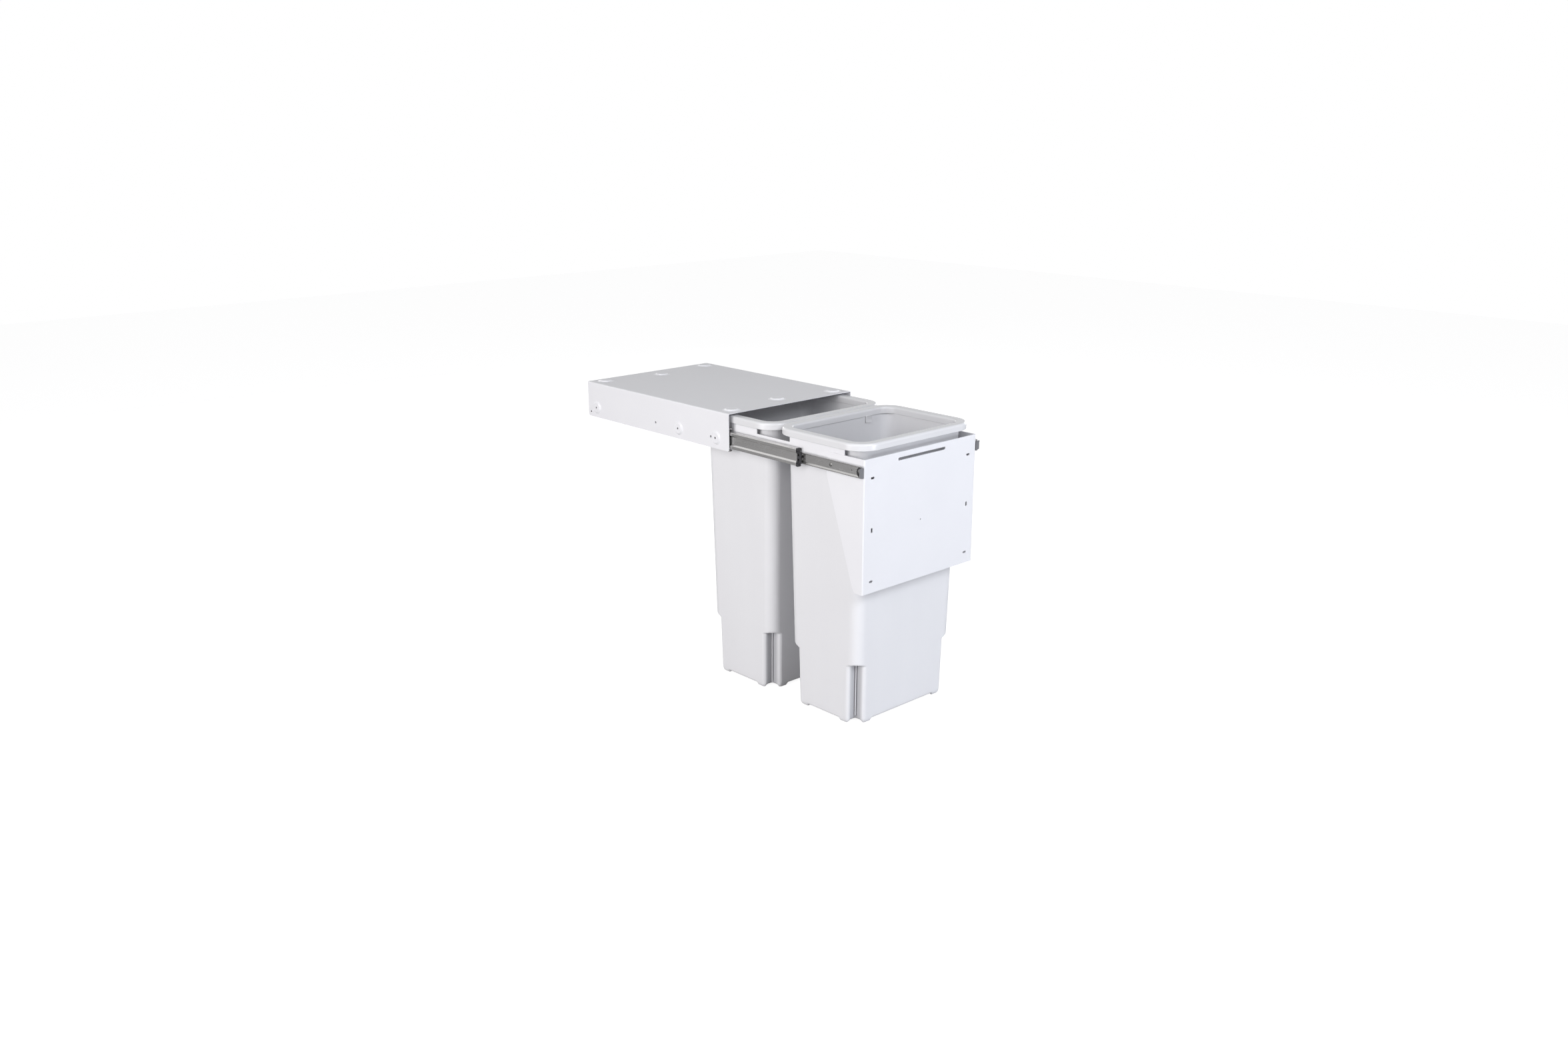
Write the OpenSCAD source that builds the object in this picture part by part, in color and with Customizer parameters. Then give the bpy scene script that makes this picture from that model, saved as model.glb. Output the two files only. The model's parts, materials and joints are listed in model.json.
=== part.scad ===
// Pull-out bin frame for a base cabinet: a folded steel housing, two telescopic
// ball-bearing slides, a steel carrier with a door bracket, and two hanging buckets.
// +X is to the right seen from the front, +Y to the back of the cabinet, +Z up.
// The origin is the top centre of the front middle pad on the housing roof.

/* [Housing] */
// Width over the folded side walls
housing_w = 364; // [330:1:500]
// Depth of the housing, front edge to back edge
housing_d = 504; // [500:1:560]
// Height of the side walls, roof included
housing_h = 81; // [81:1:110]
// Thickness of the folded steel sheet
sheet = 1.5; // [1:0.1:2]
// Outside radius of the folds
bend_r = 3; // [2.5:0.1:5]
// Rounding of the lower corners of the side walls
corner_r = 4; // [2:0.5:8]

/* [Pressed pads] */
// Diameter of a pad at its foot
pad_d = 30; // [26:1:36]
// Diameter of a pad's flat top
pad_flat_d = 22; // [16:1:24]
// Height of a pad
pad_h = 3; // [2:0.1:4]
// Corner roof pads, from the side of the housing
pad_side_inset = 32; // [24:1:60]
// Corner roof pads, from the ends of the housing
pad_end_inset = 27; // [20:1:60]
// Middle roof pads, from the ends of the housing
pad_mid_inset = 48; // [30:1:90]
// Wall screw hole in a side pad
wall_hole_d = 4.5; // [3.5:0.1:6]
// Front wall pad, from the front edge
wall_pad_front = 41; // [30:1:42]
// Middle wall pad, from the front edge
wall_pad_mid = 167; // [120:1:200]
// Rear wall pad, from the back edge
wall_pad_rear = 34; // [30:1:60]

/* [Slides] */
// Thickness of a whole slide
slide_t = 12.7; // [12.7:0.1:14]
// Height of the outer member
outer_h = 50; // [49.5:0.1:52]
// Height of the middle member
middle_h = 35.6; // [35:0.1:36]
// Height of the inner member
inner_h = 23.2; // [22:0.1:24]
// Thickness of the rolled strip
strip_t = 1.2; // [1:0.05:1.3]
// Slide centre line below the roof
slide_drop = 57.5; // [56.5:0.5:70]
// Bend radius of the outer member's strip
strip_r = 2; // [1.6:0.1:2.4]
// Length of the outer member
outer_l = 498; // [490:1:500]
// Set-back of the outer member from the front edge
outer_setback = 2.5; // [2:0.5:6]
// How much shorter the middle member is than the outer member
middle_short = 31.5; // [28:0.5:60]
// Length of the inner member
inner_l = 477.5; // [440:0.5:480]
// Running gap between a ball and its race
ball_gap = 0.2; // [0.1:0.05:0.4]
// Gap between a ball and its retainer
cage_gap = 0.2; // [0.1:0.05:0.4]
// Distance between balls in a row
ball_pitch = 18; // [12:0.5:24]
// Front housing screw of a slide, from the front edge
fix_front = 59; // [57:1:80]
// Middle housing screw of a slide, from the front edge
fix_mid = 249; // [210:1:300]
// Rear housing screw of a slide, from the back end of the outer member
fix_rear = 6.5; // [6:0.5:8]
// Rear housing screw below the slide centre line
fix_rear_drop = 12.5; // [12.5:0.5:16]
// Holes in the outer member that let a wall screw's head through
access_d = 10; // [9:0.5:12]
// Diameter of a slide screw's shank
screw_d = 4.2; // [3.5:0.1:4.5]
// Diameter of a slide screw's head
screw_head_d = 8; // [7:0.1:8.4]
// Height of a slide screw's head
screw_head_h = 1.6; // [1.2:0.1:2]

/* [Travel] */
// How far the carrier is drawn out as shown
pulled_out = 376; // [0:1:512]
// Full travel of the carrier
travel = 512; // [500:1:515]
// Share of the carrier's travel that the middle member makes
middle_share = 0.57; // [0.55:0.01:0.58]

/* [Carrier] */
// Height of the pads that carry the inner member on the door bracket
seat_h = 1.8; // [1.6:0.1:3]
// Lower top edge of the side plates, below the roof
edge_drop = 33.5; // [28:0.5:38]
// Length of a bucket tab
tab_l = 155; // [120:1:160]
// Bucket tabs behind the middle of their bucket
tab_shift = 2.5; // [0:0.5:4]
// Side plate below the slide centre line
plate_below = 11; // [10:0.5:20]
// Length of the rear rail's end flanges
rail_flange = 22; // [18:1:30]
// Front carrier screw, behind the door bracket's face
seat_front = 88; // [84:1:92]
// Middle carrier screw, behind the door bracket's face
seat_mid = 250; // [230:1:270]
// Rear carrier screw, behind the door bracket's face
seat_rear = 438; // [420:1:460]
// Diameter of a carrier pad's foot
seat_d = 22; // [20:1:22]
// Diameter of a carrier pad's flat
seat_flat_d = 14; // [12:1:16]
// Front bracket rivet, behind the door bracket's face
rivet_front = 26; // [22:1:34]
// Front bracket rivet to the one behind it
rivet_pitch = 30; // [20:1:36]
// Rail rivets above the slide centre line
rail_rivet_up = 17; // [14:0.5:20]
// Diameter of a carrier rivet
rivet_d = 4; // [3:0.1:5]
// Diameter of a carrier rivet's head
rivet_head_d = 7.5; // [7:0.1:9]
// Height of a carrier rivet's head
rivet_head_h = 1.2; // [0.8:0.1:1.4]

/* [Door bracket] */
// Height of the door plate
plate_h = 274; // [240:1:320]
// Depth of the side gussets at the top
gusset_d = 102; // [100:1:110]
// Depth of the side gussets at the bottom
gusset_foot = 22; // [15:1:60]
// Height of the straight top part of a gusset
gusset_top = 47; // [46:1:70]
// Door slots, centre to centre across the plate
slot_x = 284; // [240:1:300]
// Door slots, upper to lower row
slot_z = 211; // [170:1:220]
// Upper door slots below the plate's top edge
slot_drop = 39.3; // [30:0.1:60]
// Length of a door slot
slot_l = 10; // [8:0.5:14]
// Width of a door slot
slot_w = 4.5; // [4:0.1:6]
// Length of the long centre slot
hand_slot_l = 140; // [100:1:180]
// Height of the long centre slot
hand_slot_h = 6; // [5:0.5:8]
// Long centre slot below the plate's top edge
hand_slot_drop = 14; // [11:0.5:20]
// Diameter of the centring hole
centre_hole_d = 3; // [2:0.1:5]
// Middle slots and centring hole: centring hole below the middle slots
centre_hole_drop = 5.2; // [0:0.1:12]

/* [Buckets] */
// Distance from bucket to bucket
bucket_pitch = 254; // [252:0.5:258]
// First bucket's centre behind the door plate's face
bucket_back = 130; // [129.5:0.5:132]
// Overall height of a bucket's wall
bucket_h = 594; // [450:1:620]
// Width of a bucket's base
base_w = 288; // [260:1:296]
// Depth of a bucket's base
base_d = 191; // [170:1:200]
// Wall thickness of a bucket
bucket_wall = 2.5; // [2:0.1:3]
// Corner radius of a bucket
bucket_r = 26; // [22:0.5:28]
// Size of the notch in each lower corner
notch = 25; // [20:0.5:30]
// Height of the corner notches
notch_h = 122; // [90:1:150]
// Rounding in the hollow of a notch
notch_r = 5; // [4:0.5:6]
// Height of the rib in the hollow of a notch
notch_rib = 3; // [2:0.5:4]
// Rounding of the notch flanks
flank_r = 7; // [5:0.5:8]
// Rounding of the base edge
base_r = 5; // [3:0.5:8]
// Height of the feet under the notch flanks
foot_h = 5; // [1:0.5:6]
// Length of a foot along the wall, before the notch flank
foot_l = 12; // [6:1:20]
// Thickness of the hanging flange
flange_t = 2.5; // [2:0.1:3.5]

/* [Liner rings] */
// Overhang of a ring past the carrier's side plates
ring_over = 4; // [3:0.5:6]
// Gap between the two rings
ring_gap = 3; // [2:0.5:5]
// Width of a ring's band
ring_band = 22; // [18:0.5:24]
// Top of a ring, below the roof
ring_drop = 6.5; // [6:0.5:10]
// Height of a ring
ring_h = 15; // [13:0.5:18]
// Outer corner radius of a ring
ring_r = 48; // [42:1:56]
// Wall thickness of a ring
ring_wall = 2; // [1.6:0.1:2.5]
// Rounding of a ring's upper edges
ring_edge_r = 5; // [3:0.5:6]
// Clearance between a ring and its bucket
ring_fit = 0.5; // [0.3:0.1:0.8]
// Width of a ring's liner clip
clip_w = 18; // [12:1:30]
// Height of a ring's liner clip
clip_h = 24; // [18:1:30]
// How far a liner clip stands proud of the inner skirt
clip_proud = 1; // [0.8:0.1:1.5]
// Liner clip to the right of the middle
clip_right = 90; // [0:1:90]

/* [Hidden] */

// Curves on exact shapes, and points on a lofted corner
$fn = 48;
corner_n = 12;
// Overlap of a cutting tool past the face it cuts
cut = 1;

// Finishes
paint = [0.92, 0.92, 0.94];
zinc = [0.62, 0.61, 0.60];
bright = [0.78, 0.78, 0.79];
black = [0.11, 0.11, 0.12];
bucket_grey = [0.89, 0.89, 0.91];
ring_white = [0.95, 0.95, 0.96];

// Housing places
front_y = -pad_mid_inset;
back_y = front_y + housing_d;
roof_z = -pad_h;
wall_x = housing_w / 2 - sheet;
slide_z = roof_z - slide_drop;
pad_x = housing_w / 2 - pad_side_inset;
roof_pads = [
    for (x = [-pad_x, pad_x], y = [front_y + pad_end_inset, back_y - pad_end_inset]) [x, y],
    [0, front_y + pad_mid_inset],
    [0, back_y - pad_mid_inset],
];
wall_pads = [front_y + wall_pad_front, front_y + wall_pad_mid, back_y - wall_pad_rear];

// Clearance of a slide screw in its member, and in the housing wall or a pad behind it
screw_fit = 0.2;
screw_slack = 0.8;
// How far a pad overlaps the sheet round it
pad_join = 0.2;

// Slide sections: u runs from the housing wall inwards, v up from the slide centre line
outer_half = outer_h / 2 - strip_t / 2;
outer_lip = 9.6;
outer_hem = 2.8;
middle_half = middle_h / 2 - strip_t / 2;
middle_bend = 1.2;
middle_out = 2.2 + strip_t / 2;
middle_web = 5 + strip_t / 2;
middle_reach = 11.8;
joggle_top = 0.4;
joggle_foot = 2.6;
inner_half = inner_h / 2 - strip_t / 2;
inner_slant = 3;
inner_web = slide_t - strip_t / 2;
inner_tip = 6.9;
pilot_d = 3;
pilot_back = 28;
outer_race = outer_h / 2 - strip_t - middle_h / 2;
inner_race = middle_h / 2 - strip_t - inner_h / 2;
outer_ball_d = outer_race - 2 * ball_gap;
inner_ball_d = inner_race - 2 * ball_gap;
outer_ball_at = [5, middle_h / 2 + outer_race / 2];
inner_ball_at = [8.6, inner_h / 2 + inner_race / 2];
outer_cage_size = [7, 1];
inner_cage_size = [6, 0.8];

// Slide places along Y with the carrier pushed in, from the housing's front edge
middle_l = outer_l - middle_short;
closed_gap = 2;
stop_flange = 2;
stop_gap = 0.5;
inner_start = stop_flange - closed_gap + stop_gap;
tongue_l = 8;
stop_cap = 4;
stop_run = 1;
middle_start = inner_start + stop_run + tongue_l + stop_cap;
cage_margin = 6;
outer_cage_share = middle_share / 2;
inner_cage_share = (1 + middle_share) / 2;
outer_cage_start = outer_setback + outer_cage_share * travel + cage_margin;
outer_cage_end = middle_start + middle_l - outer_cage_share * travel - cage_margin;
inner_cage_start = middle_start + (inner_cage_share - middle_share) * travel + cage_margin;
inner_cage_end = inner_start + inner_l - (1 - inner_cage_share) * travel - cage_margin;

// Where a body stands as shown
function drawn(share) = front_y - share * pulled_out;
carrier_y = drawn(1);
middle_y = drawn(middle_share);

// Carrier places
face_y = carrier_y - closed_gap;
carrier_w = 2 * (wall_x - slide_t - seat_h);
bracket_top = roof_z - edge_drop;
side_x = carrier_w / 2 - sheet;
side_bottom = slide_z - plate_below;
bucket_ys = [face_y + bucket_back, face_y + bucket_back + bucket_pitch];
ring_d = bucket_pitch - ring_gap;
ring_w = carrier_w + 2 * ring_over;
ring_top = roof_z - ring_drop;
rim_z = ring_top - ring_wall;
tab_z = rim_z - flange_t;
seats = [face_y + seat_mid, face_y + seat_rear];
seat_front_y = face_y + seat_front;
rivet_ys = [face_y + rivet_front, face_y + rivet_front + rivet_pitch];

// Bucket places: the top fits between the ring's two skirts
top_w = ring_w - 2 * ring_band + 2 * (ring_wall + ring_fit + bucket_wall);
top_d = ring_d - 2 * ring_band + 2 * (ring_wall + ring_fit + bucket_wall);
flange_w = ring_w - 2 * (ring_wall + ring_fit);
flange_d = ring_d - 2 * (ring_wall + ring_fit);
flange_r = ring_r - ring_wall - ring_fit;
base_z = rim_z - bucket_h;
rail_y = bucket_ys[1] + (top_d + flange_d) / 4;

// Children on the right side, or mirrored to the left
module on_side(s) {
    mirror([s < 0 ? 1 : 0, 0, 0])
        children();
}

// A section in X and Z, carried along Y
module along_y(y0, y1) {
    translate([0, y1, 0])
        rotate([90, 0, 0])
            linear_extrude(y1 - y0)
                children();
}

// An outline in Y and Z, carried along X
module along_x(x0, x1) {
    translate([x0, 0, 0])
        rotate([90, 0, 90])
            linear_extrude(x1 - x0)
                children();
}

// A section in u and v, on the right-hand slide
module slide_section() {
    translate([wall_x, slide_z])
        mirror([1, 0])
            children();
}

// A round piece along X, its foot at a slide's u and v and pointing to the housing wall
module slide_pin(u, v, y) {
    translate([wall_x - u, y, slide_z + v])
        rotate([0, 90, 0])
            children();
}

// One face of a rolled strip: its path moved sideways by d, mitred at the bends
function normal(v) = [-v.y, v.x] / norm(v);
function beside(path, d) = [
    for (i = [0 : len(path) - 1]) let (
        j = max(i, 1),
        k = min(i, len(path) - 2),
        mitre = normal(path[j] - path[j - 1]) + normal(path[k + 1] - path[k])
    ) path[i] + 2 * d * mitre / (mitre * mitre)
];
function reversed(list) = [for (i = [len(list) - 1 : -1 : 0]) list[i]];

// A rolled strip of thickness t along a path
module rolled(path, t) {
    polygon(concat(beside(path, t / 2), reversed(beside(path, -t / 2))));
}

// A bend of radius r at the corner u and v, from its upright leg to its level leg towards side s
function bend(u, v, r, s) = [[u, v - r], [u + s * 0.3 * r, v - 0.3 * r], [u + s * r, v]];

// A path over the slide's upper half and back over its lower half
function both_halves(half) = concat(half, [for (p = reversed(half)) [p.x, -p.y]]);

// A rounded rectangle about the origin
module rounded(w, h, r) {
    square([w - 2 * r, h], center = true);
    square([w, h - 2 * r], center = true);
    for (sx = [-1, 1], sy = [-1, 1])
        translate([sx * (w / 2 - r), sy * (h / 2 - r)])
            circle(r);
}

// What a rounding of radius r takes off a corner at the origin
module outer_corner(r) {
    difference() {
        translate([-cut, -cut])
            square(r + cut);
        translate([r, r])
            circle(r);
    }
}

// A slot of length l and width w along the first axis
module slot(l, w) {
    square([l - w, w], center = true);
    for (s = [-1, 1])
        translate([s * (l - w) / 2, 0])
            circle(d = w);
}

// A pad pressed out of a sheet whose outer face is at z = 0
module pressed_pad(foot_d, flat_d, h, hole_d) {
    lean = 0.6 * sheet;
    rotate_extrude()
        polygon([
            [hole_d / 2, h], [flat_d / 2, h], [foot_d / 2, 0], [foot_d / 2, -sheet],
            [foot_d / 2 - lean, -sheet], [flat_d / 2 - lean, h - sheet], [hole_d / 2, h - sheet],
        ]);
}

// The hole in the sheet that a pressed pad fills
module pad_cut(foot_d) {
    translate([0, 0, -sheet - cut])
        cylinder(d = foot_d - 2 * pad_join, h = sheet + 2 * cut);
}

// A low domed screw or rivet head on the plane z = 0
module domed_head(d, h) {
    cylinder(d = d, h = h / 2);
    translate([0, 0, h / 2])
        cylinder(d1 = d, d2 = 0.6 * d, h = h / 2);
}

// The pads on the roof and the walls, as places to cut or to fill
module at_roof_pads() {
    for (p = roof_pads)
        translate([p.x, p.y, roof_z])
            children();
}

module at_wall_pads() {
    for (s = [-1, 1], y = wall_pads)
        on_side(s)
            translate([housing_w / 2, y, slide_z])
                rotate([0, 90, 0])
                    children();
}

// Housing screws of one slide, as y and v
slide_fixings = [
    [front_y + fix_front, 0],
    [front_y + fix_mid, 0],
    [front_y + outer_setback + outer_l - fix_rear, -fix_rear_drop],
];

module top_housing() {
    color(paint) {
        difference() {
            along_y(front_y, back_y)
                difference() {
                    translate([0, roof_z - housing_h])
                        rounded(housing_w, 2 * housing_h, bend_r);
                    translate([0, roof_z - housing_h])
                        rounded(housing_w - 2 * sheet, 2 * (housing_h - sheet), bend_r - sheet);
                    translate([-housing_w, roof_z - 3 * housing_h])
                        square([2 * housing_w, 2 * housing_h]);
                }
            along_x(-housing_w, housing_w)
                translate([(front_y + back_y) / 2, roof_z - housing_h])
                    for (s = [0, 1])
                        mirror([s, 0])
                            translate([-housing_d / 2, 0])
                                outer_corner(corner_r);
            at_roof_pads()
                pad_cut(pad_d);
            at_wall_pads()
                pad_cut(pad_d);
            for (s = [-1, 1], f = slide_fixings)
                on_side(s)
                    slide_pin(-sheet - cut, f.y, f.x)
                        translate([0, 0, -sheet - 2 * cut])
                            cylinder(d = screw_d + screw_slack, h = sheet + 2 * cut);
        }
        at_roof_pads()
            pressed_pad(pad_d, pad_flat_d, pad_h, 0);
        at_wall_pads()
            pressed_pad(pad_d, pad_flat_d, pad_h, wall_hole_d);
    }
}

module slide_outer(s) {
    half = concat(
        [[outer_lip, outer_half - outer_hem]],
        bend(outer_lip, outer_half, strip_r, -1),
        reversed(bend(strip_t / 2, outer_half, strip_r, 1))
    );
    color(zinc)
        on_side(s)
            difference() {
                along_y(front_y + outer_setback, front_y + outer_setback + outer_l)
                    slide_section()
                        rolled(both_halves(half), strip_t);
                for (f = slide_fixings)
                    slide_pin(strip_t + cut, f.y, f.x)
                        cylinder(d = screw_d + screw_fit, h = strip_t + 2 * cut);
                for (y = wall_pads)
                    slide_pin(strip_t + cut, 0, y)
                        cylinder(d = access_d, h = strip_t + 2 * cut);
                slide_pin(strip_t + cut, 0, guide_peg_y)
                    cylinder(d = peg_d + screw_fit, h = strip_t + 2 * cut);
            }
}

module slide_middle(s) {
    half = concat(
        [[middle_reach, middle_half]],
        reversed(bend(middle_out, middle_half, middle_bend, 1)),
        [[middle_out, inner_half + joggle_top], [middle_web, inner_half - joggle_foot]]
    );
    color(zinc)
        on_side(s)
            along_y(middle_y + middle_start, middle_y + middle_start + middle_l)
                slide_section()
                    rolled(both_halves(half), strip_t);
}

module slide_inner(s) {
    half = [
        [inner_tip, inner_half],
        [inner_web - inner_slant, inner_half],
        [inner_web, inner_half - inner_slant],
    ];
    color(zinc)
        on_side(s)
            difference() {
                along_y(carrier_y + inner_start, carrier_y + inner_start + inner_l)
                    slide_section()
                        rolled(both_halves(half), strip_t);
                for (y = concat([seat_front_y], seats))
                    slide_pin(slide_t + cut, 0, y)
                        cylinder(d = screw_d + screw_fit, h = strip_t + 2 * cut);
                slide_pin(slide_t + cut, 0, carrier_y + inner_start + pilot_back)
                    cylinder(d = pilot_d, h = strip_t + 2 * cut);
            }
}

// Places of the balls along a retainer of length l
function ball_row(l) = let (n = floor(l / ball_pitch - 1 / 2), end = (l - (n - 1) * ball_pitch) / 2)
    [for (i = [0 : n - 1]) end + i * ball_pitch];

outer_cage_l = outer_cage_end - outer_cage_start;
inner_cage_l = inner_cage_end - inner_cage_start;
outer_cage_y = drawn(outer_cage_share) + outer_cage_start;
inner_cage_y = drawn(inner_cage_share) + inner_cage_start;

// Two retainer strips, above and below the slide centre line
module cage(s, y, l, at, size, ball_d) {
    on_side(s)
        difference() {
            along_y(y, y + l)
                slide_section()
                    for (sv = [-1, 1])
                        translate([at.x, sv * at.y])
                            square(size, center = true);
            for (row = ball_row(l))
                translate([wall_x - at.x, y + row, slide_z - outer_h])
                    cylinder(d = ball_d + 2 * cage_gap, h = 2 * outer_h);
        }
}

module balls(s, y, l, at, ball_d) {
    on_side(s)
        for (row = ball_row(l), sv = [-1, 1])
            translate([wall_x - at.x, y + row, slide_z + sv * at.y])
                sphere(d = ball_d);
}

module outer_cage(s) {
    color(bright)
        cage(s, outer_cage_y, outer_cage_l, outer_ball_at, outer_cage_size, outer_ball_d);
}

module outer_balls(s) {
    color(bright)
        balls(s, outer_cage_y, outer_cage_l, outer_ball_at, outer_ball_d);
}

module inner_cage(s) {
    color(bright)
        cage(s, inner_cage_y, inner_cage_l, inner_ball_at, inner_cage_size, inner_ball_d);
}

module inner_balls(s) {
    color(bright)
        balls(s, inner_cage_y, inner_cage_l, inner_ball_at, inner_ball_d);
}

// Plastic cap on the front end of the middle member: a lobe over each flange, a hook over each
// joggle, and a windowed plate whose toothed tongue stands before the inner member
cap_over = 1.2;
cap_r = 1.5;
cap_u = [2, slide_t - 0.3];
lobe_h = 5.6;
hook_h = 2.8;
tongue_gap = 0.5;
tooth_d = 2.4;
tooth_pitch = 6.8;
window_size = [5, 4.6];
window_v = 5;
lug_l = 12;
lug_size = [1.7, 3.2];
lug_gap = 0.2;
module middle_stop(s) {
    cap_y = middle_y + middle_start;
    tip_y = cap_y - stop_cap - tongue_l;
    cap_half = middle_h / 2 + cap_over;
    plate_u = [middle_web - strip_t / 2, inner_tip - tongue_gap];
    lug_u = middle_out + strip_t / 2 + lug_gap;
    lug_v = middle_half - middle_bend - strip_t / 2;
    color(black)
        on_side(s) {
            along_y(cap_y - stop_cap, cap_y)
                slide_section()
                    for (sv = [-1, 1]) {
                        translate([(cap_u[0] + cap_u[1]) / 2, sv * (cap_half - lobe_h / 2)])
                            rounded(cap_u[1] - cap_u[0], lobe_h, cap_r);
                        translate([(middle_out + plate_u[1]) / 2, sv * (inner_half - hook_h / 2)])
                            square([plate_u[1] - middle_out, hook_h], center = true);
                    }
            difference() {
                union() {
                    along_y(tip_y, cap_y)
                        slide_section()
                            translate([plate_u[0], -inner_h / 2])
                                square([plate_u[1] - plate_u[0], inner_h]);
                    along_y(cap_y - stop_cap, cap_y)
                        slide_section()
                            translate([plate_u[0], -cap_half + cap_r])
                                square([plate_u[1] - plate_u[0], 2 * (cap_half - cap_r)]);
                }
                for (v = [-1, 0, 1])
                    slide_pin(slide_t, v * tooth_pitch, tip_y)
                        cylinder(d = tooth_d, h = slide_t);
                for (v = [-1, 1])
                    slide_pin(slide_t, v * window_v, cap_y - stop_cap)
                        linear_extrude(slide_t)
                            square([window_size.y, window_size.x], center = true);
            }
            for (v = [-lug_v, lug_v - lug_size.y])
                along_y(cap_y, cap_y + lug_l)
                    slide_section()
                        translate([lug_u, v])
                            square(lug_size);
        }
}

// Plastic plug and flange that close the front end of the inner member
// The flange leaves the member's upper lip bare, and its foot is stepped up on the wall side
plug_l = 11;
plug_inset = 0.4;
plug_rivet_v = 2;
plug_hole_v = -4.9;
plug_rivet_d = 3;
plug_rivet_fit = 0.2;
plug_head_d = 4.6;
plug_head_h = 0.7;
flange_out = 2.6;
flange_low = 3.1;
flange_over = 0.4;
foot_step = [6.1, 2];
brow = [1, 3];
module end_stop(s) {
    stop_y = carrier_y + inner_start;
    plug_u = [inner_tip + plug_inset, slide_t - strip_t];
    plug_half = inner_h / 2 - strip_t;
    plug = both_halves([
        [plug_u[0], plug_half], [plug_u[1] - inner_slant, plug_half], [plug_u[1], plug_half - inner_slant],
    ]);
    top_v = inner_h / 2 - flange_low;
    foot_v = -inner_h / 2 - flange_over;
    flange = [
        [flange_out - brow.x, top_v],
        [slide_t, top_v],
        [slide_t, foot_v],
        [flange_out + foot_step.x, foot_v],
        [flange_out + foot_step.x - foot_step.y, foot_v + foot_step.y],
        [flange_out, foot_v + foot_step.y],
        [flange_out, top_v - brow.y],
        [flange_out - brow.x, top_v - brow.y],
    ];
    color(black)
        on_side(s) {
            along_y(stop_y - stop_flange, stop_y)
                slide_section()
                    polygon(flange);
            difference() {
                intersection() {
                    along_y(stop_y, stop_y + plug_l)
                        slide_section()
                            polygon(plug);
                    slide_pin(slide_t, 0, stop_y)
                        cylinder(r = plug_l, h = slide_t);
                }
                for (v = [plug_rivet_v, plug_hole_v])
                    slide_pin(slide_t, v, stop_y + plug_l / 2)
                        cylinder(d = plug_rivet_d + plug_rivet_fit, h = slide_t);
            }
        }
}

module stop_rivet(s) {
    y = carrier_y + inner_start + plug_l / 2;
    color(bright)
        on_side(s) {
            slide_pin(slide_t - strip_t, plug_rivet_v, y)
                cylinder(d = plug_rivet_d, h = slide_t - strip_t - inner_tip - plug_inset);
            slide_pin(inner_tip + plug_inset, plug_rivet_v, y)
                domed_head(plug_head_d, plug_head_h);
        }
}

// Rubber block that the middle member meets when the carrier is pushed in
bumper_gap = 0.5;
bumper_end = 3;
bumper_t = 6.8;
bumper_inset = 4;
bumper_r = 1;
module rear_bumper(s) {
    bumper_y = front_y + middle_start + middle_l + bumper_gap;
    color(black)
        on_side(s)
            along_y(bumper_y, front_y + outer_setback + outer_l - bumper_end)
                slide_section()
                    translate([strip_t + bumper_t / 2, 0])
                        rounded(bumper_t, inner_h - 2 * bumper_inset, bumper_r);
}

// Plastic guide in the mouth of the outer member, snapped into its web by a peg
guide_front = 1.5;
guide_l = 7;
guide_t = 3.2;
guide_r = 1;
guide_inset = 1.4;
peg_d = 3;
guide_peg_y = front_y + guide_front + guide_l / 2;
module front_guide(s) {
    guide_h = 2 * (inner_half - joggle_foot - guide_inset);
    color(black)
        on_side(s) {
            along_y(front_y + guide_front, front_y + guide_front + guide_l)
                slide_section()
                    translate([strip_t + guide_t / 2, 0])
                        rounded(guide_t, guide_h, guide_r);
            slide_pin(strip_t + guide_t / 2, 0, guide_peg_y)
                cylinder(d = peg_d, h = strip_t + guide_t / 2);
        }
}

screw_recess = 1;
module slide_screws(s) {
    color(bright)
        on_side(s)
            for (f = slide_fixings) {
                slide_pin(strip_t, f.y, f.x)
                    cylinder(d = screw_d, h = strip_t + sheet - screw_recess);
                slide_pin(strip_t, f.y, f.x)
                    mirror([0, 0, 1])
                        domed_head(screw_head_d, screw_head_h);
            }
}

screw_end = 3;
module carrier_screws(s) {
    shank_in = carrier_w / 2 - sheet - screw_end;
    color(bright)
        on_side(s)
            for (y = concat([seat_front_y], seats)) {
                translate([shank_in, y, slide_z])
                    rotate([0, 90, 0])
                        cylinder(d = screw_d, h = wall_x - slide_t + strip_t - shank_in);
                slide_pin(slide_t - strip_t, 0, y)
                    domed_head(screw_head_d, screw_head_h);
            }
}

// Holes and pads on the slide centre line of a side plate or gusset, or above it
module side_drill(x, ys, d, up = 0) {
    for (y = ys)
        translate([x, y, slide_z + up])
            rotate([0, 90, 0])
                translate([0, 0, -2 * sheet - cut])
                    cylinder(d = d, h = 4 * sheet + 2 * cut);
}

module side_pads(x, ys, h) {
    for (y = ys)
        translate([x, y, slide_z])
            rotate([0, 90, 0])
                pressed_pad(seat_d, seat_flat_d, h, screw_d + screw_fit);
}

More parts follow.
